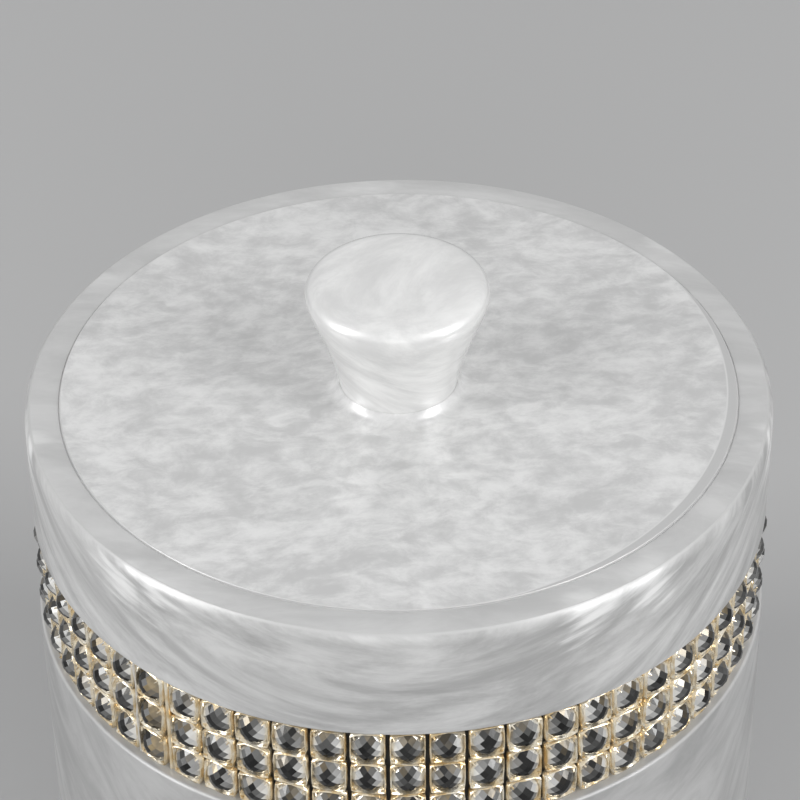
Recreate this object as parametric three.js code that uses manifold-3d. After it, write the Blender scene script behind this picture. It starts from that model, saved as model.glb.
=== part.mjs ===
// Round cotton swab box: a thick tube of cast pearl resin with a glued-in floor, a band of cut
// crystals let into its upper edge, and a lift-off lid with an inlaid disc, a locating ring and a
// turned knob. Millimetres, +Z up, origin on the surface the box stands on, under its axis.

import * as THREE from "three";
import { mergeVertices } from "three/addons/utils/BufferGeometryUtils.js";
import Module from "manifold-3d";

const wasm = await Module();
wasm.setup();

// Facets round the wide pieces and round the knob
const wideSegments = 48;
const knobSegments = 32;
const filletSteps = 3;

// Fits
const bondLine = 0.1;
const seatGap = 0.1;
const trimClearance = 0.15;
const lidFitClearance = 0.5;
const cutOverrun = 1;

// Jar
const jarOuterRadius = 50.6;
const jarWallThickness = 5.6;
const jarRimHeight = 86;
const jarFloorThickness = 5;
const jarFootRound = 1.2;
const jarRimChamfer = 0.4;
const rebateDepth = 3;
const rebateLand = 0.5;

// Foot pad
const padThickness = 1.4;
const padMargin = 3;

// Crystal band
const columnPitch = 4.96;
const rowCount = 3;
const rowPitch = 5.3;
const rowGap = 0.1;
const seamDirection = THREE.MathUtils.degToRad(-128);
const seamGap = 0.8;
const backingThickness = 0.5;
const crystalClearance = 0.08;
const crownCorners = 4;
const crownHeight = 2.2;
const crownRingRadiusShare = 0.62;
const crownRingHeightShare = 0.72;
const settingThickness = 1.35;
const settingWall = 0.12;
const settingSheet = 0.25;
const columnGap = 0.36;

// Lid
const lidHeight = 16.5;
const lidInset = 0.45;
const lidSideRound = 2;
const lidCreaseInset = 0.7;
const lidBoreStep = 0.5;
const lidEdgeChamfer = 0.2;
const lidTopFall = 0.15;
const lidTopFallWidth = 2;
const discThickness = 5;
const discProud = 0.25;
const discEdgeRound = 0.3;
const locatingWall = 3.5;
const locatingReach = 5;
const locatingChamfer = 0.8;

// Knob
const knobHeight = 17.5;
const knobRadius = 12.15;
const knobNeckRadius = 7.95;
const knobFootRadius = 8.5;
const knobFootHeight = 1;
const knobWidestHeight = 14.8;
const knobCrownRadius = 9.6;
const knobCrownRise = 0.35;
const knobTenonRadius = 5;
const knobTenonLength = 3;
const knobNeckHandleShares = [0.28, 0.55];
const knobCheekHandleShares = [0.92, 0.85];

// Radii and heights that follow from them
const jarBoreRadius = jarOuterRadius - jarWallThickness;
const jarBase = padThickness + bondLine;
const floorTop = jarBase + jarFloorThickness;
const grooveRadius = jarOuterRadius - rebateDepth;
const bandHeight = rowCount * rowPitch;
const bandTop = jarRimHeight - rebateLand;
const bandBase = bandTop - bandHeight;
const ledgeHeight = bandBase - trimClearance;

const lidBase = jarRimHeight + seatGap;
const lidTop = lidBase + lidHeight;
const lidRadius = jarOuterRadius - lidInset;
const lidBoreRadius = jarBoreRadius + lidBoreStep;
const discRadius = lidBoreRadius - bondLine;
const discTop = lidTop + discProud;
const discBase = discTop - discThickness;
const locatingRadius = jarBoreRadius - lidFitClearance;
const locatingBase = jarRimHeight - locatingReach;

const pearl = { color: 0xdcdcda, roughness: 0.16, metalness: 0 };
const crystal = { color: 0xaeb0b2, roughness: 0.05, metalness: 0.2 };
const gold = { color: 0xc9a256, roughness: 0.25, metalness: 1 };
const foam = { color: 0xd2d2cf, roughness: 0.9, metalness: 0 };

function part(name, geometry, finish) {
  geometry.computeVertexNormals();
  const mesh = new THREE.Mesh(geometry, new THREE.MeshStandardMaterial(finish));
  mesh.name = name;
  return mesh;
}

// Turns a profile of [radius, height] points about Z.
function turned(profile, segments) {
  const points = profile.map(([radius, height]) => new THREE.Vector2(radius, height));
  return new THREE.LatheGeometry(points, segments).rotateX(Math.PI / 2);
}

// Points of a round from one turn to another, about [centreRadius, centreHeight].
function round(centreRadius, centreHeight, radius, fromTurn, toTurn) {
  const points = [];
  for (let step = 0; step <= filletSteps; step++) {
    const angle = 2 * Math.PI * THREE.MathUtils.lerp(fromTurn, toTurn, step / filletSteps);
    points.push([centreRadius + radius * Math.cos(angle), centreHeight + radius * Math.sin(angle)]);
  }
  return points;
}

function solidOf(geometry) {
  geometry.deleteAttribute("normal");
  geometry.deleteAttribute("uv");
  const merged = mergeVertices(geometry);
  const triVerts = new Uint32Array(merged.index.array);
  return new wasm.Manifold(
    new wasm.Mesh({ numProp: 3, vertProperties: merged.attributes.position.array, triVerts }),
  );
}

function geometryOf(solid) {
  const mesh = solid.getMesh();
  const geometry = new THREE.BufferGeometry();
  geometry.setAttribute("position", new THREE.BufferAttribute(mesh.vertProperties, mesh.numProp));
  geometry.setIndex(new THREE.BufferAttribute(mesh.triVerts, 1));
  return geometry.toNonIndexed();
}

// Thick tube, turned down at its top to take the band and rounded at its foot
function jarWall() {
  return turned(
    [
      [jarBoreRadius, jarBase],
      ...round(jarOuterRadius - jarFootRound, jarBase + jarFootRound, jarFootRound, -0.25, 0),
      [jarOuterRadius, ledgeHeight],
      [grooveRadius, ledgeHeight],
      [grooveRadius, jarRimHeight - jarRimChamfer],
      [grooveRadius - jarRimChamfer, jarRimHeight],
      [jarBoreRadius + jarRimChamfer, jarRimHeight],
      [jarBoreRadius, jarRimHeight - jarRimChamfer],
      [jarBoreRadius, jarBase],
    ],
    wideSegments,
  );
}

// Disc glued into the lower end of the tube
function jarFloor() {
  const radius = jarBoreRadius - bondLine;
  return turned([[0, jarBase], [radius, jarBase], [radius, floorTop], [0, floorTop]], wideSegments);
}

// Soft disc glued under the floor, which the box stands on
function footPad() {
  const radius = jarBoreRadius - padMargin;
  return turned([[0, 0], [radius, 0], [radius, padThickness], [0, padThickness]], wideSegments);
}

// The band is laid round the groove in flat steps, one for each column of crystals. What the whole
// columns leave of the circle is the seam where the two ends of the band meet.
const backingRadius = grooveRadius + trimClearance;
const crystalFace = backingRadius + backingThickness;
const columnCount = Math.round((2 * Math.PI * crystalFace - seamGap) / columnPitch);
const columnTurn = (2 * Math.PI - seamGap / crystalFace) / columnCount;
const bandStart = seamDirection + seamGap / crystalFace / 2;
const columnWidth = 2 * crystalFace * Math.tan(columnTurn / 2);
const openingWidth = columnWidth - columnGap - 2 * settingWall;
const openingHeight = rowPitch - 2 * settingWall;
const crystalRadius = Math.min(openingWidth, openingHeight) / 2 - crystalClearance;

// A point of the band: the edge before a column, the distance of the flat step, the height
function bandCorner(edge, distance, height) {
  const angle = bandStart + edge * columnTurn;
  const reach = distance / Math.cos(columnTurn / 2);
  return new THREE.Vector3(reach * Math.cos(angle), reach * Math.sin(angle), height);
}

// Matrix that puts a shape made along +X, at the middle of a column and a row
function cellPlace(column, row, distance) {
  const height = bandBase + (row + 0.5) * rowPitch;
  const turn = new THREE.Matrix4().makeRotationZ(bandStart + (column + 0.5) * columnTurn);
  return turn.multiply(new THREE.Matrix4().makeTranslation(distance, 0, height));
}

function bandStrip(innerDistance, outerDistance, base, height) {
  const outline = [];
  for (let edge = 0; edge <= columnCount; edge++) {
    outline.push(bandCorner(edge, outerDistance, 0));
  }
  for (let edge = columnCount; edge >= 0; edge--) {
    outline.push(bandCorner(edge, innerDistance, 0));
  }
  const shape = new THREE.Shape(outline.map((point) => new THREE.Vector2(point.x, point.y)));
  return new THREE.ExtrudeGeometry(shape, { depth: height, bevelEnabled: false }).translate(0, 0, base);
}

// Points of a crystal round its own middle: the girdle with two corners for each of the crown's
// ring, the ring itself, and the apex
function crystalPoints(column, row) {
  const place = cellPlace(column, row, crystalFace);
  const at = (height, radius, turn) =>
    new THREE.Vector3(height, radius * Math.cos(turn), radius * Math.sin(turn)).applyMatrix4(place);
  const girdle = [];
  const ring = [];
  for (let corner = 0; corner < 2 * crownCorners; corner++) {
    girdle.push(at(0, crystalRadius, (corner - 0.5) * (Math.PI / crownCorners)));
  }
  const ringHeight = crownHeight * crownRingHeightShare;
  const ringRadius = crystalRadius * crownRingRadiusShare;
  for (let corner = 0; corner < crownCorners; corner++) {
    ring.push(at(ringHeight, ringRadius, 2 * corner * (Math.PI / crownCorners)));
  }
  return { girdle, ring, apex: at(crownHeight, 0, 0) };
}

// One row of faceted crystals, each standing out of its flat step of the backing strip
function crystalRow(row) {
  const base = bandBase + row * rowPitch + rowGap / 2;
  const top = base + rowPitch - rowGap;
  const positions = [];
  const face = (...corners) => {
    for (let i = 1; i + 1 < corners.length; i++) {
      for (const point of [corners[0], corners[i], corners[i + 1]]) {
        positions.push(point.x, point.y, point.z);
      }
    }
  };
  const section = (edge) => [
    bandCorner(edge, backingRadius, base),
    bandCorner(edge, crystalFace, base),
    bandCorner(edge, crystalFace, top),
    bandCorner(edge, backingRadius, top),
  ];
  face(...section(0));
  face(...section(columnCount).reverse());
  for (let column = 0; column < columnCount; column++) {
    const [backLow, frontLow, frontHigh, backHigh] = section(column);
    const [nextBackLow, nextFrontLow, nextFrontHigh, nextBackHigh] = section(column + 1);
    face(backLow, backHigh, nextBackHigh, nextBackLow);
    face(backLow, nextBackLow, nextFrontLow, frontLow);
    face(backHigh, frontHigh, nextFrontHigh, nextBackHigh);
    const frame = [nextFrontLow, nextFrontHigh, frontHigh, frontLow];
    const { girdle, ring, apex } = crystalPoints(column, row);
    for (let side = 0; side < crownCorners; side++) {
      const next = (side + 1) % crownCorners;
      const low = 2 * side;
      const high = low + 1;
      const far = 2 * next;
      face(frame[side], frame[next], girdle[high], girdle[low]);
      face(frame[next], girdle[far], girdle[high]);
      face(girdle[low], girdle[high], ring[side]);
      face(girdle[high], girdle[far], ring[next], ring[side]);
      face(ring[side], ring[next], apex);
    }
  }
  const geometry = new THREE.BufferGeometry();
  geometry.setAttribute("position", new THREE.Float32BufferAttribute(positions, 3));
  return geometry;
}

// Gold settings that hold the crystals: walls round one square window for each of them, standing
// on a thin sheet. The slots between the columns leave only the sheet.
function settingNet() {
  const inner = crystalFace + trimClearance;
  const strip = solidOf(bandStrip(inner, inner + settingThickness, bandBase, bandHeight));
  const depth = settingThickness + 2 * cutOverrun;
  const cuts = [];
  for (let row = 0; row < rowCount; row++) {
    for (let column = 0; column < columnCount; column++) {
      const window = new THREE.BoxGeometry(depth, openingWidth, openingHeight);
      cuts.push(solidOf(window.applyMatrix4(cellPlace(column, row, inner + settingThickness / 2))));
    }
  }
  const slotFloor = (inner + settingSheet) / Math.cos(columnTurn / 2);
  const slotHeight = bandHeight + 2 * cutOverrun;
  for (let edge = 0; edge <= columnCount; edge++) {
    const slot = new THREE.BoxGeometry(depth, columnGap, slotHeight);
    slot.translate(slotFloor + depth / 2, 0, bandBase + bandHeight / 2);
    cuts.push(solidOf(slot.rotateZ(bandStart + edge * columnTurn)));
  }
  return geometryOf(strip.subtract(wasm.Manifold.union(cuts)));
}

// Ring of the same tube as the jar. Its side was rounded over first and its top faced off after,
// so the top ends in a crease. Towards the crease the polishing has let it fall a little.
function lidRing() {
  const creaseTurn = Math.acos(1 - lidCreaseInset / lidSideRound) / (2 * Math.PI);
  const creaseHeight = lidTop - lidTopFall;
  const roundHeight = creaseHeight - lidSideRound * Math.sin(2 * Math.PI * creaseTurn);
  return turned(
    [
      [lidBoreRadius, lidBase],
      [lidRadius - lidEdgeChamfer, lidBase],
      [lidRadius, lidBase + lidEdgeChamfer],
      ...round(lidRadius - lidSideRound, roundHeight, lidSideRound, 0, creaseTurn),
      [lidRadius - lidCreaseInset - lidTopFallWidth, lidTop],
      [lidBoreRadius, lidTop],
      [lidBoreRadius, lidBase],
    ],
    wideSegments,
  );
}

// Top disc, glued into the ring a little proud, with a blind socket for the knob
function lidDisc() {
  const socketBase = discTop - knobTenonLength - bondLine;
  const socketRadius = knobTenonRadius + bondLine;
  return turned(
    [
      [0, discBase],
      [discRadius, discBase],
      [discRadius, discTop - discEdgeRound],
      [discRadius - discEdgeRound, discTop],
      [socketRadius, discTop],
      [socketRadius, socketBase],
      [0, socketBase],
    ],
    wideSegments,
  );
}

// Ring glued under the disc, which drops inside the mouth of the jar
function lidLocatingRing() {
  const innerRadius = locatingRadius - locatingWall;
  const top = discBase - bondLine;
  return turned(
    [
      [innerRadius, locatingBase],
      [locatingRadius - locatingChamfer, locatingBase],
      [locatingRadius, locatingBase + locatingChamfer],
      [locatingRadius, top],
      [innerRadius, top],
      [innerRadius, locatingBase],
    ],
    wideSegments,
  );
}

// Turned knob: a small fillet at the foot, a neck that swells into a wide cheek, a round shoulder
// and a low crown, with a tenon below. The shoulder goes on in the direction in which the cheek ends.
function knob() {
  const foot = discTop + bondLine;
  const crownEdge = foot + knobHeight - knobCrownRise;
  const profile = [
    [0, foot - knobTenonLength],
    [knobTenonRadius, foot - knobTenonLength],
    [knobTenonRadius, foot],
    [knobFootRadius, foot],
  ];
  const flare = new THREE.QuadraticBezierCurve(
    new THREE.Vector2(knobFootRadius, foot),
    new THREE.Vector2(knobNeckRadius, foot),
    new THREE.Vector2(knobNeckRadius, foot + knobFootHeight),
  );
  const handle = ([radiusShare, heightShare]) =>
    new THREE.Vector2(
      THREE.MathUtils.lerp(knobNeckRadius, knobRadius, radiusShare),
      foot + knobWidestHeight * heightShare,
    );
  const widest = new THREE.Vector2(knobRadius, foot + knobWidestHeight);
  const cheekHandle = handle(knobCheekHandleShares);
  const cheek = new THREE.CubicBezierCurve(
    new THREE.Vector2(knobNeckRadius, foot + knobFootHeight),
    handle(knobNeckHandleShares),
    cheekHandle,
    widest,
  );
  const cheekSlope = (widest.x - cheekHandle.x) / (widest.y - cheekHandle.y);
  const shoulder = new THREE.QuadraticBezierCurve(
    widest,
    new THREE.Vector2(knobRadius + cheekSlope * (crownEdge - widest.y), crownEdge),
    new THREE.Vector2(knobCrownRadius, crownEdge),
  );
  for (const curve of [flare, cheek, shoulder]) {
    for (const point of curve.getPoints(filletSteps + 1).slice(1)) {
      profile.push([point.x, point.y]);
    }
  }
  profile.push([0, foot + knobHeight]);
  return turned(profile, knobSegments);
}

const jar = new THREE.Group();
jar.add(part("jar_wall", jarWall(), pearl));
jar.add(part("jar_floor", jarFloor(), pearl));
jar.add(part("foot_pad", footPad(), foam));
jar.add(part("setting_net", settingNet(), gold));
for (let row = 0; row < rowCount; row++) {
  jar.add(part("crystal_row_" + (row + 1), crystalRow(row), crystal));
}

const lid = new THREE.Group();
lid.add(part("lid_ring", lidRing(), pearl));
lid.add(part("lid_disc", lidDisc(), pearl));
lid.add(part("lid_locating_ring", lidLocatingRing(), pearl));
lid.add(part("lid_knob", knob(), pearl));

const swabBox = new THREE.Group();
swabBox.add(jar, lid);

export default swabBox;
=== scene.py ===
import math
import random

import bpy
from mathutils import Matrix, Vector


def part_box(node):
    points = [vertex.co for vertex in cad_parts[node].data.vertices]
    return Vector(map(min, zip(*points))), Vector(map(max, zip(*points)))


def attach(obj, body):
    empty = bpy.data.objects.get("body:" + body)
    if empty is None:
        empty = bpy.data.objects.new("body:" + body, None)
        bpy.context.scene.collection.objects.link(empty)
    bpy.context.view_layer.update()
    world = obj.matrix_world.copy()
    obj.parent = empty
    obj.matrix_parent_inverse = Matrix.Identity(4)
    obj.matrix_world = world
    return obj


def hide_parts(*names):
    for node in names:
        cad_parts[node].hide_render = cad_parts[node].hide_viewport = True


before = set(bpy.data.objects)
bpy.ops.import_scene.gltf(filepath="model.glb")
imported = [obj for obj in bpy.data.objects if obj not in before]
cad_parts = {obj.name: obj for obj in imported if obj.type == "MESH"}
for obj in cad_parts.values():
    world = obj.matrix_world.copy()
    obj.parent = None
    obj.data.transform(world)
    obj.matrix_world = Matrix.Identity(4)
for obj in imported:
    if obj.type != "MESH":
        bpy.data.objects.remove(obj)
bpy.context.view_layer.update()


# Camera
# The photograph looks down on the lid from the front with a long lens, 38 degrees above the
# horizon, and a little turned. The aim is the middle of the lid, just under its rim.
mm = 0.001
lid_low, lid_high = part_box("lid_ring")
camera_elevation = math.radians(37.97)
camera_roll = math.radians(-0.68)
camera_distance = 436 * mm
camera_aim = Vector((0.18 * mm, 0, lid_high.z - 2.39 * mm))
focal_length = 145.7

camera = bpy.data.objects.new("camera", bpy.data.cameras.new("camera"))
bpy.context.scene.collection.objects.link(camera)
camera.data.lens = focal_length
camera.data.clip_start = 10 * mm
camera.data.clip_end = 20
back = Vector((0, -math.cos(camera_elevation), math.sin(camera_elevation)))
flat_up = Vector((0, math.sin(camera_elevation), math.cos(camera_elevation)))
side = Vector((math.cos(camera_roll), 0, 0)) + math.sin(camera_roll) * flat_up
camera.matrix_world = Matrix.LocRotScale(
    camera_aim + camera_distance * back,
    Matrix((side, back.cross(side), back)).transposed(),
    None,
)
bpy.context.scene.camera = camera


# Foot pad
# A thin disc of closed-cell foam, punched from sheet and stuck under the floor, so that the box
# doesn't slide or scratch what it stands on.
pad_low, pad_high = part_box("foot_pad")
pad_edge = 0.3 * mm
foam_dark = (0.62, 0.62, 0.60, 1)
foam_light = (0.78, 0.78, 0.76, 1)
turned_sides = 160
fillet_steps = 8


def quarter(centre_radius, centre_height, radius, start, end, steps=fillet_steps):
    """Rings of a rounded edge, from one angle in degrees to another."""
    rings = []
    for step in range(steps + 1):
        angle = math.radians(start + (end - start) * step / steps)
        out = centre_radius + radius * math.cos(angle)
        up = centre_height + radius * math.sin(angle)
        rings.append((out, up))
    return rings


def turn(name, rings, sides=turned_sides, hollow=False, smooth=40):
    """Draws a piece as a lathe cuts it, by rings of (radius, height). A solid one is filled at
    its ends, and a hollow one ends where it began."""
    bpy.ops.object.select_all(action="DESELECT")
    radius, height = rings[0]
    fill = "NOTHING" if hollow else "NGON"
    bpy.ops.mesh.primitive_circle_add(
        vertices=sides, radius=radius, fill_type=fill, location=(0, 0, height)
    )
    piece = bpy.context.object
    piece.name = name
    bpy.ops.object.transform_apply(location=True)
    bpy.ops.object.mode_set(mode="EDIT")
    bpy.ops.mesh.select_all(action="SELECT")
    for next_radius, next_height in rings[1:]:
        bpy.ops.mesh.extrude_region_move(
            TRANSFORM_OT_translate={"value": (0, 0, next_height - height)}
        )
        scale = next_radius / radius
        bpy.ops.transform.resize(value=(scale, scale, 1), center_override=(0, 0, next_height))
        radius, height = next_radius, next_height
    if hollow:
        bpy.ops.mesh.select_all(action="DESELECT")
        bpy.ops.mesh.select_non_manifold()
        bpy.ops.mesh.bridge_edge_loops()
    bpy.ops.mesh.select_all(action="SELECT")
    bpy.ops.mesh.normals_make_consistent(inside=False)
    bpy.ops.object.mode_set(mode="OBJECT")
    bpy.ops.object.shade_smooth_by_angle(angle=math.radians(smooth))
    return piece


def new_material(name):
    """A material with nothing in it yet, and its shader."""
    material = bpy.data.materials.new(name)
    material.use_nodes = True
    return material, material.node_tree.nodes["Principled BSDF"]


def feed(node, terms):
    """Gives inputs of a node their values, or the outputs of other nodes."""
    for name, term in terms.items():
        if isinstance(term, bpy.types.NodeSocket):
            node.id_data.links.new(term, node.inputs[name])
        else:
            node.inputs[name].default_value = term


def object_place(tree):
    """Where a point lies on its piece."""
    return tree.nodes.new("ShaderNodeTexCoord").outputs["Object"]


def blend(tree, share, under, over):
    """Mixes a share of one colour over another."""
    node = tree.nodes.new("ShaderNodeMix")
    node.data_type = "RGBA"
    feed(node, {"Factor": share, "A": under, "B": over})
    return node.outputs["Result"]


def roughen(tree, height, strength, distance):
    """Tilts the normals of a surface as a height rises and falls."""
    bump = tree.nodes.new("ShaderNodeBump")
    feed(bump, {"Height": height, "Strength": strength, "Distance": distance})
    feed(tree.nodes["Principled BSDF"], {"Normal": bump.outputs["Normal"]})


def two_tone(name, texture_kind, scale, output, dark, light, roughness):
    """A material that swings between two tones, as a texture does."""
    material, shader = new_material(name)
    tree = material.node_tree
    texture = tree.nodes.new(texture_kind)
    feed(texture, {"Vector": object_place(tree), "Scale": scale})
    tone = blend(tree, texture.outputs[output], dark, light)
    feed(shader, {"Base Color": tone, "Roughness": roughness})
    return material


def fit(piece, body, slot, *nodes):
    """Puts a piece on its body in place of the CAD nodes named. The slot is not used."""
    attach(piece, body)
    if nodes:
        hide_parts(*nodes)


pad_rings = [
    (pad_high.x - pad_edge, pad_low.z),
    *quarter(pad_high.x - pad_edge, pad_low.z + pad_edge, pad_edge, -90, 0, 3)[1:],
    *quarter(pad_high.x - pad_edge, pad_high.z - pad_edge, pad_edge, 0, 90, 3),
]
foot_pad = turn("foot_pad_foam", pad_rings)
pad_foam = two_tone(
    "pad foam", "ShaderNodeTexVoronoi", 2200.0, "Distance", foam_dark, foam_light, 0.9
)
foam_cells = pad_foam.node_tree.nodes["Voronoi Texture"]
roughen(pad_foam.node_tree, foam_cells.outputs["Distance"], strength=0.7, distance=0.2 * mm)
foot_pad.data.materials.append(pad_foam)
fit(foot_pad, "jar", "pad_foam", "foot_pad")


# Pearl resin
# Clear resin full of pearl flakes, poured and stirred, so that pale clouds and streaks hang in a
# greyer ground. The flakes lie along the streaks and catch the light like satin under a gloss skin.
stir_scale = 38.0
stir_reach = 50 * mm
bank_grain = 0.25
bank_weight = 0.4
flake_grain = 0.6


def calculate(tree, operation, *terms):
    """Works out a number from others."""
    node = tree.nodes.new("ShaderNodeMath")
    node.operation = operation
    feed(node, dict(enumerate(terms)))
    return node.outputs[0]


def calculate_vector(tree, operation, *terms):
    """Works out a vector from others, or how far two of them lie apart."""
    node = tree.nodes.new("ShaderNodeVectorMath")
    node.operation = operation
    feed(node, dict(enumerate(terms)))
    return node.outputs["Value" if operation == "DISTANCE" else "Vector"]


def remap(tree, value, start, end, low=0.0, high=1.0, ease="LINEAR"):
    """Spreads a value, from its start to its end, over the range from low to high."""
    node = tree.nodes.new("ShaderNodeMapRange")
    node.interpolation_type = ease
    feed(node, {"Value": value, "From Min": start, "From Max": end, "To Min": low, "To Max": high})
    return node.outputs["Result"]


def laid_place(tree, turned, stretch):
    """Where a point lies in layers that are drawn in XY and then turned and stretched."""
    mapping = tree.nodes.new("ShaderNodeMapping")
    mapping.vector_type = "TEXTURE"
    rotation = [math.radians(angle) for angle in turned]
    feed(mapping, {"Vector": object_place(tree), "Rotation": rotation, "Scale": stretch})
    return mapping.outputs["Vector"]


def pearl_cloud_group():
    """Masks for the clouds of a pour and for the lie of its flakes."""
    group = bpy.data.node_groups.new("pearl cloud", "ShaderNodeTree")
    for name, value in [("Grain", 60.0), ("Stir", 0.35), ("Seed", 0.0)]:
        socket = group.interface.new_socket(name, in_out="INPUT", socket_type="NodeSocketFloat")
        socket.default_value = value
    group.interface.new_socket("Place", in_out="INPUT", socket_type="NodeSocketVector")
    group.interface.new_socket("Cloud", in_out="OUTPUT", socket_type="NodeSocketFloat")
    group.interface.new_socket("Flake", in_out="OUTPUT", socket_type="NodeSocketFloat")
    given = group.nodes.new("NodeGroupInput").outputs
    results = group.nodes.new("NodeGroupOutput")

    def seeded_noise(vector, scale, detail):
        noise = group.nodes.new("ShaderNodeTexNoise")
        noise.noise_dimensions = "4D"
        feed(noise, {"Vector": vector, "W": given["Seed"], "Scale": scale, "Detail": detail})
        return noise

    stir = seeded_noise(given["Place"], stir_scale, 2.0)
    centred = calculate_vector(group, "SUBTRACT", stir.outputs["Color"], (0.5, 0.5, 0.5))
    push = calculate(group, "MULTIPLY", given["Stir"], stir_reach)
    pushed = calculate_vector(group, "MULTIPLY", centred, push)
    stirred = calculate_vector(group, "ADD", given["Place"], pushed)

    wisp = seeded_noise(stirred, given["Grain"], 8.0)
    feed(wisp, {"Roughness": 0.68, "Distortion": 0.35})
    bank = seeded_noise(stirred, calculate(group, "MULTIPLY", given["Grain"], bank_grain), 2.0)
    both = calculate(group, "MULTIPLY_ADD", bank.outputs["Fac"], bank_weight, wisp.outputs["Fac"])
    flake = seeded_noise(stirred, calculate(group, "MULTIPLY", given["Grain"], flake_grain), 3.0)
    cloud = remap(group, both, start=0.52, end=0.92, ease="SMOOTHSTEP")
    feed(results, {"Cloud": cloud, "Flake": flake.outputs["Fac"]})
    return group


pearl_cloud = pearl_cloud_group()
pearl_ground = (0.49, 0.49, 0.488, 1)
pearl_bright = (0.68, 0.68, 0.675, 1)


def pearl_resin(
    name, turned, stretch, grain, stir, seed, swing, ground=pearl_ground, bright=pearl_bright
):
    """One pour of pearl resin: its layers lie in XY before they are turned and stretched."""
    material, shader = new_material(name)
    tree = material.node_tree
    cloud = tree.nodes.new("ShaderNodeGroup")
    cloud.node_tree = pearl_cloud
    place = laid_place(tree, turned, stretch)
    feed(cloud, {"Place": place, "Grain": grain, "Stir": stir, "Seed": seed})
    tone = blend(tree, cloud.outputs["Cloud"], ground, bright)
    gloss = remap(tree, cloud.outputs["Cloud"], start=0.0, end=1.0, low=0.42, high=0.30)
    feed(shader, {"Base Color": tone, "Roughness": gloss, "Metallic": 0.25})
    feed(shader, {"Coat Weight": 1.0, "Coat Roughness": 0.03, "Coat IOR": 1.5})
    roughen(tree, cloud.outputs["Flake"], strength=0.6, distance=swing)
    return material


# Jar
# A thick tube of pearl resin with a disc of the same resin glued into its lower end. Its upper
# edge is turned down to take the crystal band, and the foot and the rim are eased with a tool.
wall_low, wall_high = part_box("jar_wall")
floor_low, floor_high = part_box("jar_floor")
jar_radius = wall_high.x
bore_radius = floor_high.x + 0.1 * mm
rebate_depth = 3.0 * mm
groove_radius = jar_radius - rebate_depth
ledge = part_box("setting_net")[0].z - 0.15 * mm
foot_round = 1.2 * mm
rim_round = 0.4 * mm
ledge_round = 0.5 * mm
# The jar's tones are darker than the lid ring's: in part painted shade, for the light that falls off
# down the jar.
jar_ground_shaded = (0.34, 0.34, 0.339, 1)
jar_bright_shaded = (0.52, 0.52, 0.517, 1)
# Lighter tone laid on the ledge under the band: painted light where the band's shade falls.
ledge_painted_light = (0.62, 0.62, 0.617, 1)
wall_rings = [
    *quarter(bore_radius + rim_round, wall_low.z + rim_round, rim_round, 180, 270, 3),
    *quarter(jar_radius - foot_round, wall_low.z + foot_round, foot_round, -90, 0),
    *quarter(jar_radius - ledge_round, ledge - ledge_round, ledge_round, 0, 90),
    (groove_radius, ledge),
    *quarter(groove_radius - rim_round, wall_high.z - rim_round, rim_round, 0, 90, 4),
    *quarter(bore_radius + rim_round, wall_high.z - rim_round, rim_round, 90, 180, 4),
]
jar_wall = turn("jar_tube", wall_rings, hollow=True)
jar_resin = pearl_resin(
    "pearl resin jar",
    turned=(40, 12, 0),
    stretch=(4.0, 4.0, 1.0),
    grain=150.0,
    stir=0.6,
    seed=3.1,
    swing=0.3 * mm,
    ground=jar_ground_shaded,
    bright=jar_bright_shaded,
)
jar_tree = jar_resin.node_tree


def object_height(tree):
    """How high a point lies on its piece."""
    axes = tree.nodes.new("ShaderNodeSeparateXYZ")
    feed(axes, {0: object_place(tree)})
    return axes.outputs["Z"]


def circle_line_group():
    """Masks for a thin line round a centre, used for a tool line and for painted highlights, and for
    all that lies beyond it.
    """
    group = bpy.data.node_groups.new("circle line", "ShaderNodeTree")
    sockets = [("Place", "Vector"), ("Centre", "Vector"), ("Radius", "Float"), ("Width", "Float")]
    for name, kind in sockets:
        group.interface.new_socket(name, in_out="INPUT", socket_type="NodeSocket" + kind)
    group.interface.new_socket("Line", in_out="OUTPUT", socket_type="NodeSocketFloat")
    group.interface.new_socket("Beyond", in_out="OUTPUT", socket_type="NodeSocketFloat")
    given = group.nodes.new("NodeGroupInput").outputs
    results = group.nodes.new("NodeGroupOutput")
    flat = calculate_vector(group, "MULTIPLY", given["Place"], (1, 1, 0))
    reach = calculate_vector(group, "DISTANCE", flat, given["Centre"])
    past = calculate(group, "SUBTRACT", reach, given["Radius"])
    beyond = calculate(group, "GREATER_THAN", past, 0.0)
    away = calculate(group, "ABSOLUTE", calculate(group, "DIVIDE", past, given["Width"]))
    line = remap(group, away, start=1.0, end=0.0, ease="SMOOTHSTEP")
    feed(results, {"Line": line, "Beyond": beyond})
    return group


circle_line = circle_line_group()


def overlay(material, mask, colour):
    """Lays one more colour over a material, where the mask says so."""
    shader = material.node_tree.nodes["Principled BSDF"]
    under = shader.inputs["Base Color"].links[0].from_socket
    feed(shader, {"Base Color": blend(material.node_tree, mask, under, colour)})


def add_circle_line(material, centre, radius, width):
    """Places the group of a circle line in a material."""
    line = material.node_tree.nodes.new("ShaderNodeGroup")
    line.node_tree = circle_line
    place = object_place(material.node_tree)
    feed(line, {"Place": place, "Centre": centre, "Radius": radius, "Width": width})
    return line


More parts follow.
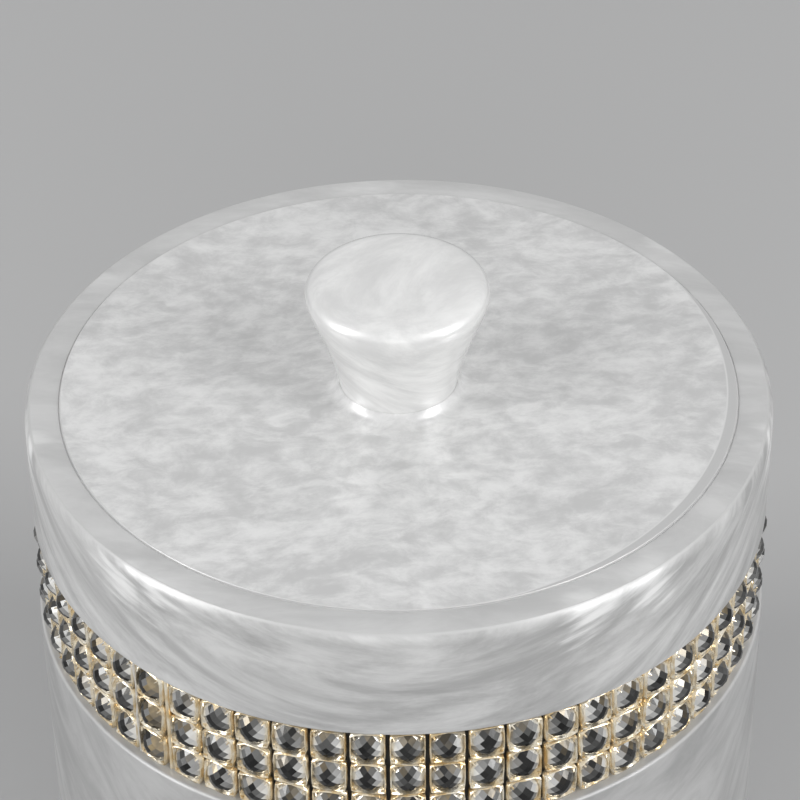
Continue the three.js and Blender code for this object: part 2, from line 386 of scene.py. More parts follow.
# The ledge under the crystal band is painted lighter, as painted light in the band's shade.
jar_height = object_height(jar_tree)
round_start = ledge - 0.6 * ledge_round
round_end = ledge - 0.1 * ledge_round
ledge_light_ramp = remap(jar_tree, jar_height, start=round_start, end=round_end, high=0.9)
below_band = calculate(jar_tree, "LESS_THAN", jar_height, ledge + ledge_round)
outside = add_circle_line(jar_resin, (0, 0, 0), groove_radius - ledge_round, ledge_round)
ledge_light_mask = calculate(jar_tree, "MULTIPLY", ledge_light_ramp, below_band)
ledge_light_mask = calculate(jar_tree, "MULTIPLY", ledge_light_mask, outside.outputs["Beyond"])
overlay(jar_resin, ledge_light_mask, ledge_painted_light)
jar_shader = jar_tree.nodes["Principled BSDF"]
feed(jar_shader, {"Metallic": 0.1, "Coat Weight": 0.15, "Coat Roughness": 0.25})
jar_wall.data.materials.append(jar_resin)
fit(jar_wall, "jar", "pearl_resin", "jar_wall")

floor_radius = floor_high.x
floor_edge = 0.3 * mm
floor_rings = [
    *quarter(floor_radius - floor_edge, floor_low.z + floor_edge, floor_edge, -90, 0, 3),
    *quarter(floor_radius - floor_edge, floor_high.z - floor_edge, floor_edge, 0, 90, 3),
]
jar_floor = turn("jar_floor_disc", floor_rings)
floor_resin = pearl_resin(
    "pearl resin floor",
    turned=(0, 0, 30),
    stretch=(1.8, 1.0, 1.0),
    grain=220.0,
    stir=0.4,
    seed=7.7,
    swing=0.2 * mm,
)
jar_floor.data.materials.append(floor_resin)
fit(jar_floor, "jar", "pearl_resin", "jar_floor")


# Backing of the band
# A near-black strip laid once round the groove. It carries the crystals and shows black in the gaps
# between their columns; its two ends meet at the seam, front left.
column_count = 61
row_count = 3
seam_direction = math.radians(-128)
backing_front = 48.25 * mm
seam_gap = 0.8 * mm
row_pitch = 5.3 * mm
backing_margin = 0.2 * mm
backing_thickness = 0.45 * mm
weld_reach = 0.02 * mm
band_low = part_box("setting_net")[0].z
seam_turn = seam_gap / backing_front
column_turn = (2 * math.pi - seam_turn) / column_count
band_start = seam_direction + seam_turn / 2
column_width = 2 * backing_front * math.tan(column_turn / 2)
backing_height = row_count * row_pitch


def cell_place(column, row, distance):
    """Stands a shape drawn in XY, facing +Z, upright at the middle of a cell of the band."""
    angle = band_start + (column + 0.5) * column_turn
    height = band_low + (row + 0.5) * row_pitch
    upright = Matrix(((0, 0, 1, 0), (1, 0, 0, 0), (0, 1, 0, 0), (0, 0, 0, 1)))
    return Matrix.Rotation(angle, 4, "Z") @ Matrix.Translation((distance, 0, height)) @ upright


def place_copies(name, pattern, places, dress=None):
    """Copies one shape to many places, each copy with its own mesh, and joins them as one piece."""
    copies = []
    for number, place in enumerate(places):
        copy = bpy.data.objects.new(name, pattern.data.copy())
        bpy.context.scene.collection.objects.link(copy)
        if dress:
            dress(copy.data, number)
        copy.data.transform(place)
        copies.append(copy)
    bpy.ops.object.select_all(action="DESELECT")
    for copy in copies:
        copy.select_set(True)
    bpy.context.view_layer.objects.active = copies[0]
    bpy.ops.object.join()
    return copies[0]


bpy.ops.object.select_all(action="DESELECT")
bpy.ops.mesh.primitive_plane_add(size=1)
backing_step = bpy.context.object
backing_size = (column_width, backing_height - backing_margin, 1, 1)
backing_step.data.transform(Matrix.Diagonal(backing_size))
backing_rows = [
    cell_place(column, (row_count - 1) / 2, backing_front) for column in range(column_count)
]
backing = place_copies("band_backing", backing_step, backing_rows)
bpy.data.objects.remove(backing_step)
bpy.ops.object.mode_set(mode="EDIT")
bpy.ops.mesh.select_all(action="SELECT")
bpy.ops.mesh.remove_doubles(threshold=weld_reach)
bpy.ops.object.mode_set(mode="OBJECT")
backing_wall = backing.modifiers.new("thickness", "SOLIDIFY")
backing_wall.thickness = backing_thickness
backing_wall.offset = -1
bpy.ops.object.modifier_apply(modifier="thickness")
# Near black, so that the gaps between the columns show black.
backing_near_black = (0.006, 0.006, 0.006, 1)
backing_dark_grey = (0.02, 0.019, 0.017, 1)
backing_tone = two_tone(
    "near-black backing", "ShaderNodeTexNoise", 900.0, "Fac", backing_near_black, backing_dark_grey, 0.6
)
backing.data.materials.append(backing_tone)
fit(backing, "jar", "crystal")


# Gold settings
# Each crystal sits in its own cup, stamped from gold-plated sheet: a round seat in a square shell
# with round corners and a small claw at each corner that is bent on to the stone. The faces that
# face out, between seat and rim, are a pale copy of the gold: painted light and highlight. The cups
# touch up and down and stand a little apart side by side.
cup_sides = 16
cup_gap = 0.38 * mm
cup_foot = 0.12 * mm
seat_radius = 2.2 * mm
seat_half_width = 2.11 * mm
seat_half_height = 2.34 * mm
seat_squareness = 2.15
seat_height = 0.7 * mm
seat_margin = 1.05
upright_limit = 0.1
bezel_height = 1.15 * mm
rim_width = 0.15 * mm
rim_lean = 0.02 * mm
rim_fall = 0.04 * mm
side_rise = 0.15 * mm
cup_half_width = (column_width - cup_gap) / 2
cup_half_height = row_pitch / 2 - 0.03 * mm
cup_corner = 3.12 * mm
claw_angle = math.radians(48)
claw_lean = math.radians(-36)
claw_reach = 2.62 * mm
claw_length = 0.7 * mm
claw_thick = 0.18 * mm
claw_thin = 0.09 * mm
cup_crumple = 0.16 * mm
cup_pinch = 0.03
cup_draw = random.Random(7)


def gold_cup():
    """One cup with its claws. Its second material, a pale copy of the gold for the faces that face
    out, is painted light and highlight.
    """
    rings = [
        (seat_radius, cup_foot),
        (seat_radius, seat_height),
        (cup_corner, bezel_height),
        (cup_corner, bezel_height - rim_fall),
        (cup_corner, cup_foot),
    ]
    cup = turn("gold_cup", rings, sides=cup_sides, hollow=True, smooth=25)
    for vertex in cup.data.vertices:
        reach = vertex.co.to_2d().length
        if reach > seat_radius * seat_margin:
            inset = 0
            if vertex.co.z > seat_height:
                inset = rim_width if vertex.co.z > bezel_height - rim_fall / 2 else rim_lean
            vertex.co.x = max(-cup_half_width + inset, min(cup_half_width - inset, vertex.co.x))
            vertex.co.y = max(-cup_half_height + inset, min(cup_half_height - inset, vertex.co.y))
            if inset:
                vertex.co.z += side_rise * (vertex.co.x / cup_half_width) ** 4
        else:
            across = abs(vertex.co.x / reach / seat_half_width) ** seat_squareness
            up = abs(vertex.co.y / reach / seat_half_height) ** seat_squareness
            scale = (across + up) ** (-1 / seat_squareness) / reach
            vertex.co.x *= scale
            vertex.co.y *= scale
    # Faces that face out take the pale gold: painted light and highlight.
    for polygon in cup.data.polygons:
        polygon.material_index = 1 if polygon.normal.z > upright_limit else 0
    claws = []
    for angle in [claw_angle, math.pi - claw_angle, math.pi + claw_angle, -claw_angle]:
        bpy.ops.object.select_all(action="DESELECT")
        bpy.ops.mesh.primitive_cone_add(
            vertices=5, radius1=claw_thick, radius2=claw_thin, depth=claw_length, end_fill_type="NGON"
        )
        claw = bpy.context.object
        outward = Matrix.Translation((claw_reach, 0, bezel_height))
        leaning = Matrix.Rotation(claw_lean, 4, "Y")
        claw.data.transform(Matrix.Rotation(angle, 4, "Z") @ outward @ leaning)
        claws.append(claw)
    for claw in claws:
        claw.select_set(True)
    cup.select_set(True)
    bpy.context.view_layer.objects.active = cup
    bpy.ops.object.join()
    return cup


def crumple_rim(mesh, column):
    """Creases the rim of one cup a little, as thin foil does when it is pressed."""
    for vertex in mesh.vertices:
        if vertex.co.z > seat_height * seat_margin:
            vertex.co.z += cup_draw.uniform(-cup_crumple, cup_crumple)
            pinch = 1 - cup_draw.uniform(0, cup_pinch)
            vertex.co.x *= pinch
            vertex.co.y *= pinch


def gold_plate(name, dull, light, metallic):
    """Gold on sheet metal, from a dull tone to a light one as the tarnish goes."""
    material, shader = new_material(name)
    tree = material.node_tree
    texture = tree.nodes.new("ShaderNodeTexNoise")
    feed(texture, {"Vector": object_place(tree), "Scale": 600.0, "Detail": 4.0})
    tarnish = texture.outputs["Fac"]
    tone = blend(tree, remap(tree, tarnish, start=0.35, end=0.65), dull, light)
    gloss = remap(tree, tarnish, start=0.0, end=1.0, low=0.12, high=0.30)
    feed(shader, {"Base Color": tone, "Roughness": gloss, "Metallic": metallic})
    roughen(tree, tarnish, strength=0.8, distance=0.15 * mm)
    return material


cup_pattern = gold_cup()
cup_pattern.data.materials.append(
    gold_plate("gold plate", (0.74, 0.57, 0.32, 1), (1.0, 0.94, 0.80, 1), 0.75)
)
# The pale gold paints light and highlight on the faces that face out.
cup_pattern.data.materials.append(
    gold_plate("pale gold painted light", (0.88, 0.75, 0.50, 1), (1.0, 1.0, 0.98, 1), 0.3)
)
seat_distance = backing_front + 0.05 * mm
for row in range(row_count):
    places = [cell_place(column, row, seat_distance) for column in range(column_count)]
    cups = place_copies(f"gold_cups_{row + 1}", cup_pattern, places, crumple_rim)
    fit(cups, "jar", "setting_gold", *(["setting_net"] if row == 0 else []))
bpy.data.objects.remove(cup_pattern)


# Seam
# The two ends of the band meet front left. A folded gold strip closes the gap between them, and a
# run of glue has dried as a pale bead one column further left.
bead_radius = 0.2 * mm
bead_distance = backing_front + 1.1 * mm
bead_angle = seam_direction - seam_turn / 2 - column_turn
bead_length = backing_height - 0.3 * mm
bead_height = band_low + backing_height / 2
bead_sway = 0.12 * mm
long_wave = 1.7 * mm
short_wave = 0.6 * mm
bpy.ops.object.select_all(action="DESELECT")
bpy.ops.mesh.primitive_cylinder_add(vertices=10, radius=bead_radius, depth=bead_length)
glue_bead = bpy.context.object
glue_bead.name = "seam_glue_bead"
bpy.ops.object.mode_set(mode="EDIT")
bpy.ops.mesh.select_all(action="SELECT")
bpy.ops.mesh.subdivide(number_cuts=9)
bpy.ops.object.mode_set(mode="OBJECT")
for vertex in glue_bead.data.vertices:
    wave = math.sin(vertex.co.z / long_wave) + 0.6 * math.sin(vertex.co.z / short_wave + 1)
    vertex.co.y += bead_sway * wave
glue_bead.data.transform(
    Matrix.Rotation(bead_angle, 4, "Z") @ Matrix.Translation((bead_distance, 0, bead_height))
)
bpy.ops.object.shade_smooth_by_angle(angle=math.radians(60))
glue_dark = (0.30, 0.28, 0.24, 1)
glue_light = (0.78, 0.77, 0.74, 1)
dried_glue = two_tone(
    "dried glue", "ShaderNodeTexNoise", 700.0, "Fac", glue_dark, glue_light, 0.2
)
feed(dried_glue.node_tree.nodes["Principled BSDF"], {"Coat Weight": 0.5})
glue_bead.data.materials.append(dried_glue)
fit(glue_bead, "jar", "setting_gold")

strip_width = seam_gap - 0.15 * mm
strip_depth = 1.1 * mm
strip_height = backing_height - 0.1 * mm
strip_bend = 0.25 * mm
bpy.ops.object.select_all(action="DESELECT")
bpy.ops.mesh.primitive_cube_add(size=1)
seam_strip = bpy.context.object
seam_strip.name = "seam_gold_strip"
seam_strip.data.transform(Matrix.Diagonal((strip_depth, strip_width, strip_height, 1)))
strip_fold = seam_strip.modifiers.new("fold", "BEVEL")
strip_fold.width = strip_bend
strip_fold.segments = 3
bpy.ops.object.modifier_apply(modifier="fold")
strip_distance = backing_front + strip_depth / 2
seam_strip.data.transform(
    Matrix.Rotation(seam_direction, 4, "Z") @ Matrix.Translation((strip_distance, 0, bead_height))
)
bpy.ops.object.shade_smooth_by_angle(angle=math.radians(40))
seam_strip.data.materials.append(bpy.data.materials["gold plate"])
fit(seam_strip, "jar", "setting_gold")


# Crystals
# Clear cushion-shaped stones pressed into the cups, foiled flat behind, domed and cut into a diamond
# lattice in front. Each facet's colour holds a painted reflection of the foil and of the room: dark
# in the middle and below, pale at the sides and in the lower corners, gilt towards the top. Glue has
# clouded the seam's column.
crystal_half_width = 2.1 * mm
crystal_half_height = 2.32 * mm
crystal_squareness = 2.15
crystal_base = 0.1 * mm
girdle_height = 0.85 * mm
dome_height = 1.33 * mm
lattice_count = 7
lattice_size = lattice_count * 0.8 * mm
outline_cuts = 16
# How the painted reflection in the facets runs over a stone: darker in the middle and below, paler at
# the sides and the top, white in the lower corners, gilt towards the top.
middle_tone = 0.2
side_start = 0.2
side_gain = 1.15
side_sway = 0.25
top_start = 0.3
top_gain = 0.35
foot_spread = 0.55
foot_loss = 0.95
corner_low = -0.4
corner_out = 0.62
corner_gain = 0.8
facet_scatter = 0.18
gilt_start = 0.7
gilt_gain = 0.9
gilt_scatter = (-0.3, 0.5)
clouded_column = column_count - 1
clouded_floor = 0.08
clouded_share = 0.3
smear_start = 0.15
smear_gilt = 1.0
smear_tone = 0.15
facet_draw = random.Random(61)


def cushion(x, y):
    """How far out a place lies on a round-cornered square: 0 in the middle, 1 on its outline."""
    across = abs(x / crystal_half_width) ** crystal_squareness
    up = abs(y / crystal_half_height) ** crystal_squareness
    return (across + up) ** (1 / crystal_squareness)


def cut_crystal():
    """One stone: a lattice of facets over a dome, cut to its outline and closed behind."""
    bpy.ops.object.select_all(action="DESELECT")
    bpy.ops.mesh.primitive_grid_add(
        x_subdivisions=lattice_count, y_subdivisions=lattice_count, size=lattice_size
    )
    crystal = bpy.context.object
    crystal.data.transform(Matrix.Rotation(math.radians(45), 4, "Z"))
    for vertex in crystal.data.vertices:
        share = cushion(vertex.co.x, vertex.co.y)
        vertex.co.z = girdle_height + dome_height * (1 - share * share)
    bpy.ops.object.mode_set(mode="EDIT")
    for cut in range(outline_cuts):
        angle = 2 * math.pi * (cut + 0.5) / outline_cuts
        direction = Vector((math.cos(angle), math.sin(angle), 0))
        reach = 1 / cushion(direction.x, direction.y)
        bpy.ops.mesh.select_all(action="SELECT")
        bpy.ops.mesh.bisect(plane_co=direction * reach, plane_no=direction, clear_outer=True)
    bpy.ops.mesh.select_all(action="DESELECT")
    bpy.ops.mesh.select_non_manifold()
    bpy.ops.mesh.extrude_region_move(TRANSFORM_OT_translate={"value": (0, 0, 0)})
    bpy.ops.transform.resize(value=(1, 1, 0), center_override=(0, 0, crystal_base))
    bpy.ops.mesh.edge_face_add()
    bpy.ops.mesh.select_all(action="SELECT")
    bpy.ops.mesh.normals_make_consistent(inside=False)
    bpy.ops.object.mode_set(mode="OBJECT")
    crystal.data.attributes.new("facet_tone", "FLOAT", "FACE")
    crystal.data.attributes.new("facet_gilt", "FLOAT", "FACE")
    return crystal


def facets_in_turn(mesh):
    """The facets of a stone in the mesh's order, but its upright walls in turn round the stone,
    because Blender makes those in an order that changes from run to run."""
    facets = list(mesh.polygons)
    upright = [face.index for face in facets if abs(face.normal.z) < upright_limit]
    walls = [facets[index] for index in upright]
    walls.sort(key=lambda wall: math.atan2(wall.center.y, wall.center.x))
    for index, wall in zip(upright, walls):
        facets[index] = wall
    return facets


def dress_facets(mesh, column):
    """Gives each facet its tone and gilt, a painted reflection of the room and of the foil, from where
    it lies on the stone and by a random draw.
    """
    tones = mesh.attributes["facet_tone"].data
    gilts = mesh.attributes["facet_gilt"].data
    sway = facet_draw.uniform(-side_sway, side_sway)
    for face in facets_in_turn(mesh):
        across = face.center.x / crystal_half_width
        up = face.center.y / crystal_half_height
        beside = max(0, abs(across) - side_start) + sway * across
        above = max(0, up - top_start)
        below = max(0, -up) * max(0, 1 - foot_spread * across * across)
        tone = middle_tone + side_gain * beside + top_gain * above - foot_loss * below
        tone += facet_draw.uniform(-facet_scatter, facet_scatter)
        if up < corner_low and abs(across) > corner_out:
            tone += corner_gain
        if column == clouded_column:
            tone = clouded_floor + clouded_share * tone
        gilt = gilt_gain * up - gilt_start + facet_draw.uniform(*gilt_scatter)
        if column == clouded_column and across > smear_start:
            gilt += smear_gilt
            tone += smear_tone
        tones[face.index].value = min(1, max(0, tone))
        gilts[face.index].value = min(1, max(0, gilt))


def crystal_glass():
    """Foiled glass whose colour shows the tone and the gilt of each facet: a painted reflection."""
    material, shader = new_material("cut crystal")
    tree = material.node_tree
    facet = tree.nodes.new("ShaderNodeAttribute")
    facet.attribute_name = "facet_tone"
    tone = tree.nodes.new("ShaderNodeValToRGB")
    steps = [
        (0.0, (0.004, 0.004, 0.004, 1)),
        (0.3, (0.03, 0.03, 0.029, 1)),
        (0.6, (0.22, 0.22, 0.215, 1)),
        (0.85, (0.62, 0.62, 0.61, 1)),
        (1.0, (0.95, 0.94, 0.90, 1)),
    ]
    while len(tone.color_ramp.elements) < len(steps):
        tone.color_ramp.elements.new(0.5)
    for element, (position, colour) in zip(tone.color_ramp.elements, steps):
        element.position = position
        element.color = colour
    feed(tone, {"Fac": facet.outputs["Fac"]})
    # The gilt is a painted reflection of the gold foil, broken up by a fine noise.
    gilt = tree.nodes.new("ShaderNodeAttribute")
    gilt.attribute_name = "facet_gilt"
    glint = tree.nodes.new("ShaderNodeTexNoise")
    feed(glint, {"Vector": object_place(tree), "Scale": 900.0})
    warmth = calculate(tree, "MULTIPLY", gilt.outputs["Fac"], glint.outputs["Fac"])
    warm = blend(tree, warmth, tone.outputs["Color"], (0.72, 0.56, 0.32, 1))
    feed(shader, {"Base Color": warm, "Metallic": 0.5, "Roughness": 0.12, "Specular IOR Level": 0.25})
    feed(shader, {"Coat Weight": 0.25, "Coat Roughness": 0.01, "Coat IOR": 1.55})
    return material


crystal_pattern = cut_crystal()
crystal_pattern.data.materials.append(crystal_glass())
for row in range(row_count):
    places = [cell_place(column, row, seat_distance) for column in range(column_count)]
    crystals = place_copies(f"crystals_{row + 1}", crystal_pattern, places, dress_facets)
    fit(crystals, "jar", "crystal", f"crystal_row_{row + 1}")
bpy.data.objects.remove(crystal_pattern)


# Lid ring
# A slice of the same tube as the jar. Its side was rounded over first and its top faced off and
# polished after, so the top falls a little outwards and ends in a fine crease. Just under it, at a few
# places round the ring, feathery white streaks of pearl flakes are painted in: painted sheen where
# the flakes catch the lamps.
ring_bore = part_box("lid_disc")[1].x + 0.1 * mm
lid_radius = lid_high.x
lid_side_round = 2.0 * mm
lid_crease_inset = 0.7 * mm
lid_crease_ease = 0.25 * mm
lid_fall = 0.15 * mm
lid_fall_width = 2.0 * mm
lid_edge = 0.2 * mm
lid_bend = 0.15 * mm
crease_end = 86
crease_radius = lid_radius - lid_crease_inset
crease_height = lid_high.z - lid_fall
crease_turn = math.degrees(math.acos(1 - lid_crease_inset / lid_side_round))
crease_side = math.cos(math.radians(crease_turn))
crease_lift = math.sin(math.radians(crease_turn))
fall_radius = crease_radius - lid_fall_width
lid_rings = [
    *quarter(ring_bore + lid_edge, lid_low.z + lid_edge, lid_edge, 180, 270, 3),
    *quarter(lid_radius - lid_edge, lid_low.z + lid_edge, lid_edge, -90, 0, 4),
    *quarter(
        lid_radius - lid_side_round,
        crease_height - lid_side_round * crease_lift,
        lid_side_round,
        0,
        crease_turn,
        10,
    ),
    *quarter(
        crease_radius - lid_crease_ease * crease_side,
        crease_height - lid_crease_ease * crease_lift,
        lid_crease_ease,
        crease_turn,
        crease_end,
        4,
    )[1:],
    (fall_radius + lid_bend, lid_high.z - lid_fall * lid_bend / lid_fall_width),
    (fall_radius - lid_bend, lid_high.z),
    *quarter(ring_bore + lid_bend, lid_high.z - lid_bend, lid_bend, 90, 180, 3),
]
lid_ring = turn("lid_ring_turned", lid_rings, hollow=True)
ring_ground = (0.40, 0.40, 0.398, 1)
ring_bright = (0.70, 0.70, 0.695, 1)
# Tone of the painted sheen on the pearl flakes under the crease.
flake_sheen_tone = (0.90, 0.90, 0.895, 1)
faced_tone = (0.62, 0.62, 0.617, 1)
# Tone of the painted highlight along the crease.
crease_highlight_tone = (0.58, 0.58, 0.575, 1)
crease_width = 0.3 * mm
ring_resin = pearl_resin(
    "pearl resin ring",
    turned=(30, -4, 0),
    stretch=(5.0, 5.0, 1.0),
    grain=300.0,
    stir=0.5,
    seed=1.3,
    swing=0.9 * mm,
    ground=ring_ground,
    bright=ring_bright,
)
ring_tree = ring_resin.node_tree
ring_height = object_height(ring_tree)
faced_start = crease_height - crease_width
faced = remap(ring_tree, ring_height, start=faced_start, end=crease_height, high=0.6)
# Painted sheen: near the listed azimuths under the crease, the pearl flakes are painted white where
# they catch the lamps.
streak_depth = 2.2 * mm
streak_reach = 13.0 * mm
streak_azimuths = [-168, -134, -128, -62, -51, -12, 38, 95, 150]
streak_place = laid_place(ring_tree, turned=(20, -4, 0), stretch=(8.0, 8.0, 1.0))
streaks = ring_tree.nodes.new("ShaderNodeTexNoise")
feed(streaks, {"Vector": streak_place, "Scale": 800.0, "Detail": 5.0})
ring_place = object_place(ring_tree)
distances = []
for azimuth in streak_azimuths:
    out = Matrix.Rotation(math.radians(azimuth), 3, "Z") @ Vector((lid_radius, 0, 0))
    middle = (out.x, out.y, lid_high.z - streak_depth)
    distances.append(calculate_vector(ring_tree, "DISTANCE", ring_place, middle))
nearest = distances[0]
for distance in distances[1:]:
    nearest = calculate(ring_tree, "MINIMUM", nearest, distance)
closeness = remap(ring_tree, nearest, start=streak_reach, end=0.0, high=0.72)
streak_sum = calculate(ring_tree, "ADD", closeness, streaks.outputs["Fac"])
flake_sheen_mask = remap(ring_tree, streak_sum, start=0.92, end=1.28, ease="SMOOTHSTEP")
overlay(ring_resin, flake_sheen_mask, flake_sheen_tone)
overlay(ring_resin, faced, faced_tone)
# A pale line all round the crease: painted highlight.
crease_highlight = add_circle_line(ring_resin, (0, 0, 0), crease_radius, crease_width)
overlay(ring_resin, crease_highlight.outputs["Line"], crease_highlight_tone)
skin = remap(ring_tree, streaks.outputs["Fac"], start=0.42, end=0.62, high=0.45)
ring_shader = ring_tree.nodes["Principled BSDF"]
feed(ring_shader, {"Metallic": 0.15, "Coat Weight": skin, "Coat Roughness": 0.35})
lid_ring.data.materials.append(ring_resin)
fit(lid_ring, "lid", "pearl_resin", "lid_ring")


# Lid disc
# A disc cut from pearl resin sheet and glued into the ring, a hair proud, with its edge eased.
# The clouds of the sheet run across it, a little up to the right, and stop at the joint. A lathe
# has left a faint line near the edge, off centre, and a socket is bored for the knob.
disc_low, disc_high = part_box("lid_disc")
disc_radius = disc_high.x
disc_edge = 0.15 * mm
disc_edge_low = 0.3 * mm
socket_radius = 5.1 * mm
socket_depth = 3.1 * mm
disc_rings = [
    *quarter(disc_radius - disc_edge_low, disc_low.z + disc_edge_low, disc_edge_low, -90, 0, 3),
    *quarter(disc_radius - disc_edge, disc_high.z - disc_edge, disc_edge, 0, 90, 6),
    (socket_radius, disc_high.z),
    (socket_radius, disc_high.z - socket_depth),
]
lid_disc = turn("lid_disc_sheet", disc_rings)
sheet_ground = (0.58, 0.58, 0.578, 1)
sheet_bright = (0.82, 0.82, 0.815, 1)
trim_centre = (-3.4 * mm, 1.3 * mm, 0)
trim_radius = 47.5 * mm
trim_width = 0.2 * mm
beyond_tone = (0.55, 0.55, 0.548, 1)
trim_tone = (0.72, 0.72, 0.715, 1)
# Width and tone of the painted highlight along the disc's edge.
edge_highlight_width = 0.28 * mm
edge_highlight_tone = (0.62, 0.62, 0.615, 1)
sheet_resin = pearl_resin(
    "pearl resin sheet",
    turned=(0, 0, 7),
    stretch=(1.6, 1.0, 1.0),
    grain=380.0,
    stir=0.16,
    seed=5.2,
    swing=0.12 * mm,
    ground=sheet_ground,
    bright=sheet_bright,
)
sheet_shader = sheet_resin.node_tree.nodes["Principled BSDF"]
feed(sheet_shader, {"Coat Weight": 0.6, "Coat Roughness": 0.12})
trim_line = add_circle_line(sheet_resin, trim_centre, trim_radius, trim_width)
overlay(sheet_resin, trim_line.outputs["Beyond"], beyond_tone)
overlay(sheet_resin, trim_line.outputs["Line"], trim_tone)
# A pale line all round the disc's edge: painted highlight.
edge_highlight = add_circle_line(sheet_resin, (0, 0, 0), disc_radius, edge_highlight_width)
overlay(sheet_resin, edge_highlight.outputs["Line"], edge_highlight_tone)
lid_disc.data.materials.append(sheet_resin)
fit(lid_disc, "lid", "pearl_resin", "lid_disc")


# Cement
# Clear cement that sets pale and fills the joint between the disc and the ring, a little below
# both.
cement_dark = (0.50, 0.50, 0.50, 1)
cement_light = (0.68, 0.68, 0.675, 1)
cement = two_tone(
    "pale cement", "ShaderNodeTexNoise", 320.0, "Fac", cement_dark, cement_light, 0.3
)
feed(cement.node_tree.nodes["Principled BSDF"], {"Coat Weight": 0.2})
cement_slack = 0.005 * mm
cement_depth = 1.2 * mm
cement_sink_out = 0.09 * mm
cement_sink_in = 0.04 * mm
cement_rings = [
    (disc_radius + cement_slack, lid_high.z - cement_depth),
    (ring_bore - cement_slack, lid_high.z - cement_depth),
    (ring_bore - cement_slack, lid_high.z - cement_sink_out),
    (disc_radius + cement_slack, lid_high.z - cement_sink_in),
]
disc_cement = turn("disc_cement", cement_rings, hollow=True)
disc_cement.data.materials.append(cement)
fit(disc_cement, "lid", "pearl_resin")


# Locating ring
# A narrower ring of resin, glued under the disc. It drops inside the mouth of the jar and keeps
# the lid from sliding off; its lower edge is chamfered to lead it in.
locating_low, locating_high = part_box("lid_locating_ring")
locating_radius = locating_high.x
locating_wall = 3.5 * mm
locating_lead = 0.8 * mm
locating_rings = [
    *quarter(
        locating_radius - locating_wall + rim_round, locating_low.z + rim_round, rim_round, 180, 270, 3
    ),
    (locating_radius - locating_lead, locating_low.z),
    (locating_radius, locating_low.z + locating_lead),
    (locating_radius, locating_high.z),
    (locating_radius - locating_wall, locating_high.z),
]
locating_ring = turn("lid_locating_ring_turned", locating_rings, hollow=True)
locating_resin = pearl_resin(
    "pearl resin locating ring",
    turned=(0, 12, 0),
    stretch=(4.0, 4.0, 1.0),
    grain=200.0,
    stir=0.6,
    seed=9.4,
    swing=0.3 * mm,
)
locating_ring.data.materials.append(locating_resin)
fit(locating_ring, "lid", "pearl_resin", "lid_locating_ring")


# Knob
# Turned from pearl resin rod: a small fillet at the foot, a neck that swells into a wide cheek, a
# round shoulder and a low crown. A tenon under it is glued into the disc, and cement that was
# squeezed out has set in a low fillet round the foot.
knob_low, knob_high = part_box("lid_knob")
knob_foot = disc_high.z + 0.1 * mm
tenon_radius = 5.0 * mm
knob_sides = 96
foot_radius = 8.5 * mm
neck_radius = 7.95 * mm
neck_height = 1.0 * mm
widest_height = 14.8 * mm
crown_radius = 9.6 * mm
crown_rise = 0.35 * mm
knob_ground = (0.73, 0.73, 0.725, 1)
knob_bright = (0.97, 0.97, 0.96, 1)
crown_edge = knob_high.z - crown_rise
neck = (neck_radius, knob_foot + neck_height)
neck_handle = (9.13 * mm, knob_foot + 8.14 * mm)
cheek_handle = (11.81 * mm, knob_foot + 12.58 * mm)
widest = (12.15 * mm, knob_foot + widest_height)
shoulder_handle = (12.5 * mm, crown_edge - 0.2 * mm)


def curve_rings(points, steps):
    """Rings along a Bezier curve through two ends and one or two handles, without the first."""
    rings = []
    for step in range(1, steps + 1):
        level = [Vector(point) for point in points]
        while len(level) > 1:
            level = [a.lerp(b, step / steps) for a, b in zip(level, level[1:])]
        rings.append(tuple(level[0]))
    return rings


knob_rings = [
    (tenon_radius, knob_low.z),
    (tenon_radius, knob_foot),
    (foot_radius, knob_foot),
    *curve_rings([(foot_radius, knob_foot), (neck_radius, knob_foot), neck], 6),
    *curve_rings([neck, neck_handle, cheek_handle, widest], 26),
    *curve_rings([widest, shoulder_handle, (crown_radius, crown_edge)], 14),
]
crown_steps = 10
for step in range(1, crown_steps):
    share = 1 - step / crown_steps
    knob_rings.append((crown_radius * share, crown_edge + crown_rise * (1 - share * share)))
lid_knob = turn("lid_knob_turned", knob_rings, sides=knob_sides)
rod_resin = pearl_resin(
    "pearl resin rod",
    turned=(24, 14, 30),
    stretch=(2.6, 2.6, 1.0),
    grain=280.0,
    stir=0.5,
    seed=2.6,
    swing=0.25 * mm,
    ground=knob_ground,
    bright=knob_bright,
)
lid_knob.data.materials.append(rod_resin)
fit(lid_knob, "lid", "pearl_resin", "lid_knob")

fillet_radius = 9.8 * mm
fillet_height = 1.3 * mm
fillet_slack = 0.01 * mm
fillet_rings = [
    (foot_radius + fillet_slack, disc_high.z + fillet_slack),
    (fillet_radius, disc_high.z + fillet_slack),
    *curve_rings(
        [
            (fillet_radius, disc_high.z + fillet_slack),
            (neck_radius + 0.7 * mm, disc_high.z + fillet_slack),
            (neck_radius + 0.06 * mm, disc_high.z + fillet_height),
        ],
        10,
    ),
]
knob_cement = turn("knob_cement", fillet_rings, sides=knob_sides, hollow=True)
knob_cement.data.materials.append(sheet_resin)
fit(knob_cement, "lid", "pearl_resin")


# Floor, light and room
# A plain pale floor, two broad soft lamps to the left and right of the camera, and a weaker one in
# front and another behind that throw no highlight. The room is even, and is seen and mirrored as a
# pale backdrop.
lamp_aim = Vector((0, 0, 90 * mm))


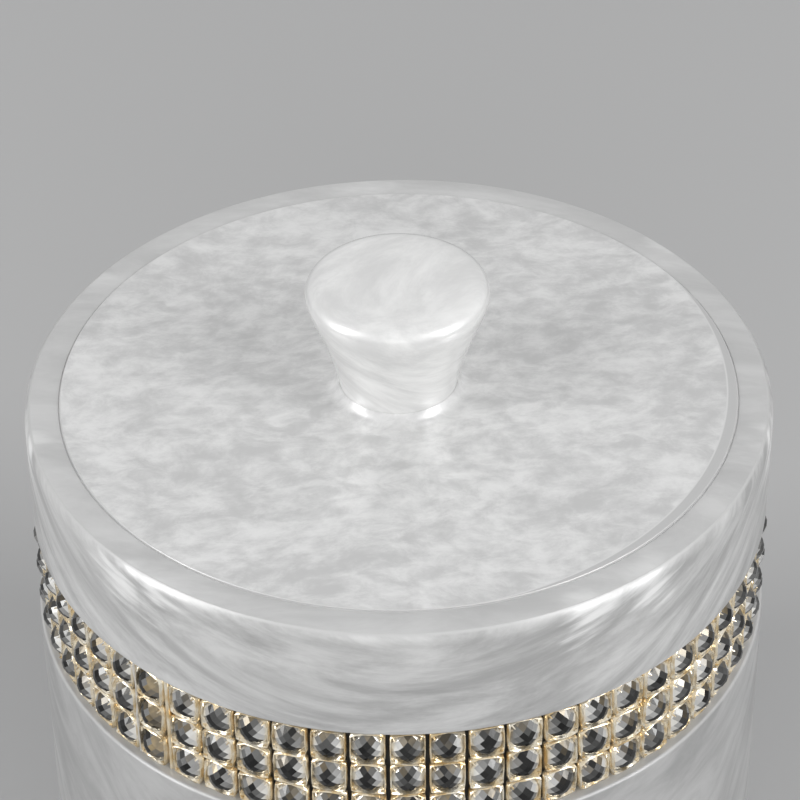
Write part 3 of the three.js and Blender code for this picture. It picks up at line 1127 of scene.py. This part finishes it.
def soft_lamp(name, azimuth, elevation, distance, width, height, power):
    """A broad lamp that faces the lid, at angles in degrees from the front and the horizon."""
    lamp = bpy.data.objects.new(name, bpy.data.lights.new(name, "AREA"))
    lamp.data.shape = "RECTANGLE"
    lamp.data.size = width
    lamp.data.size_y = height
    lamp.data.energy = power
    turn_angle, lift = math.radians(azimuth), math.radians(elevation)
    towards = Vector(
        (math.sin(turn_angle) * math.cos(lift), -math.cos(turn_angle) * math.cos(lift), math.sin(lift))
    )
    lamp.location = lamp_aim + distance * towards
    lamp.rotation_euler = towards.to_track_quat("Z", "Y").to_euler()
    bpy.context.scene.collection.objects.link(lamp)
    return lamp


soft_lamp("left lamp", -70, 24, 1.5, 0.52, 1.44, 12.8)
soft_lamp("right lamp", 62, 30, 1.5, 0.60, 1.32, 12.8)
front_lamp = soft_lamp("front lamp", 0, 20, 1.8, 1.2, 0.8, 8.0)
front_lamp.visible_glossy = False
back_lamp = soft_lamp("back lamp", 175, 60, 1.8, 1.2, 0.8, 4.6)
back_lamp.visible_glossy = False

bpy.ops.object.select_all(action="DESELECT")
bpy.ops.mesh.primitive_circle_add(vertices=96, radius=8, fill_type="NGON", location=(0, 0, 0))
floor = bpy.context.object
floor.name = "floor"
floor_paint, floor_shader = new_material("floor")
feed(floor_shader, {"Base Color": (0.5, 0.5, 0.5, 1), "Roughness": 0.7})
floor.data.materials.append(floor_paint)

world = bpy.data.worlds.new("room")
bpy.context.scene.world = world
world.use_nodes = True
room_nodes = world.node_tree.nodes
room = room_nodes["Background"]
feed(room, {"Color": (0.92, 0.93, 0.945, 1), "Strength": 0.27})
seen = room_nodes.new("ShaderNodeBackground")
feed(seen, {"Color": (0.74, 0.74, 0.74, 1), "Strength": 1.0})
rays = room_nodes.new("ShaderNodeLightPath").outputs
is_seen = rays["Is Camera Ray"]
for kind in ["Is Glossy Ray", "Is Transmission Ray"]:
    is_seen = calculate(world.node_tree, "MAXIMUM", is_seen, rays[kind])
choice = room_nodes.new("ShaderNodeMixShader")
feed(choice, {0: is_seen, 1: room.outputs[0], 2: seen.outputs[0]})
feed(room_nodes["World Output"], {"Surface": choice.outputs[0]})

bpy.context.scene.view_settings.view_transform = "Standard"
